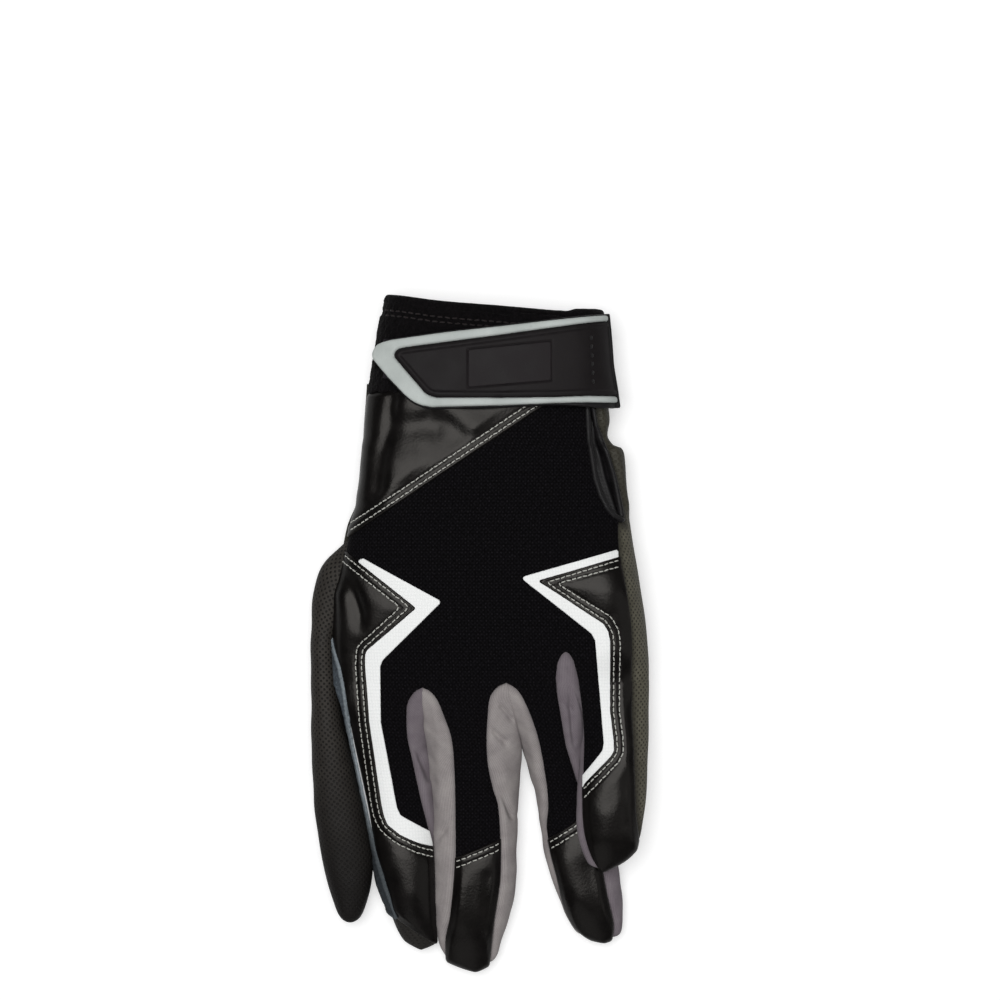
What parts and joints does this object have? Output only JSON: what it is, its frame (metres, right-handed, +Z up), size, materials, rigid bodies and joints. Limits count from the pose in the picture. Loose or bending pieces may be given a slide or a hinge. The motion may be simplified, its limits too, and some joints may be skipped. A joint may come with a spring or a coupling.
{
  "type": "batting glove",
  "caption": "Left-hand youth batting glove lying palm down, with leather and stretch knit panels, grey finger gussets, a perforated palm and a wrist strap that peels open.",
  "frame": {"origin": "middle of the glove's bounding box, on the surface it lies on", "axes": "+Z up from the surface it lies on, +Y towards the cuff, +X towards the little finger edge"},
  "size_m": [0.0884, 0.1738, 0.0208],
  "materials": {
    "leather": "satin black leather with a fine grain",
    "fabric": "matt black stretch knit",
    "stretch": "matt grey stretch knit",
    "palm_leather": "perforated dark olive-grey leather",
    "print": "white printed stripe",
    "rubber": "matt charcoal moulded rubber",
    "border": "pale grey moulded rubber",
    "knit": "black brushed loop knit"
  },
  "bodies": {
    "hand": {"back_panel": "fabric", "wrist_panel": "leather", "palm_panel": "palm_leather", "cuff_back": "knit", "cuff_palm": "knit", "cuff_hem": "knit", "slit_tape_back": "knit", "slit_tape_palm": "knit", "slit_gusset": "knit", "loop_patch": "knit", "strap_anchor": "knit", "index_side_panel": "leather", "pinky_side_panel": "leather", "index_side_print": "print", "pinky_side_print": "print"},
    "strap": {"strap_base": "knit", "strap_border": "border", "strap_face": "rubber", "strap_badge": "rubber", "hook_patch": "knit"},
    "index": {"index_leather": "leather", "index_fabric": "fabric", "index_palm": "palm_leather", "index_gusset_little_side": "stretch", "index_stripe": "print"},
    "middle": {"middle_leather": "leather", "middle_fabric": "fabric", "middle_palm": "palm_leather", "middle_gusset_index_side": "stretch", "middle_gusset_little_side": "stretch"},
    "ring": {"ring_leather": "leather", "ring_fabric": "fabric", "ring_palm": "palm_leather", "ring_gusset_index_side": "stretch", "ring_gusset_little_side": "stretch"},
    "pinky": {"pinky_leather": "leather", "pinky_fabric": "fabric", "pinky_palm": "palm_leather", "pinky_gusset_index_side": "stretch", "pinky_stripe": "print"},
    "thumb": {"thumb_back": "palm_leather", "thumb_front": "palm_leather"}
  },
  "joints": [
    {"name": "index_knuckle", "type": "hinge", "parent": "hand", "child": "index", "pos_m": [-0.02563, -0.01321, 0], "axis": [1, 0, 0], "range_deg": [0, 80]},
    {"name": "middle_knuckle", "type": "hinge", "parent": "hand", "child": "middle", "pos_m": [-0.00428, -0.01321, 0], "axis": [1, 0, 0], "range_deg": [0, 80]},
    {"name": "ring_knuckle", "type": "hinge", "parent": "hand", "child": "ring", "pos_m": [0.01572, -0.01321, 0], "axis": [1, 0, 0], "range_deg": [0, 80]},
    {"name": "pinky_knuckle", "type": "hinge", "parent": "hand", "child": "pinky", "pos_m": [0.03337, -0.01321, 0], "axis": [1, 0, 0], "range_deg": [0, 80]},
    {"name": "thumb_swing", "type": "hinge", "parent": "hand", "child": "thumb", "pos_m": [-0.02968, 0.01879, 0], "axis": [0, 0, -1], "range_deg": [0, 45]},
    {"name": "strap_peel", "type": "hinge", "parent": "hand", "child": "strap", "pos_m": [0.03752, 0.06879, 0.0086], "axis": [0, 1, 0], "range_deg": [0, 160]}
  ],
  "couplings": [
    {"joint": "pinky_knuckle", "follows": "ring_knuckle", "ratio": 1}
  ]
}
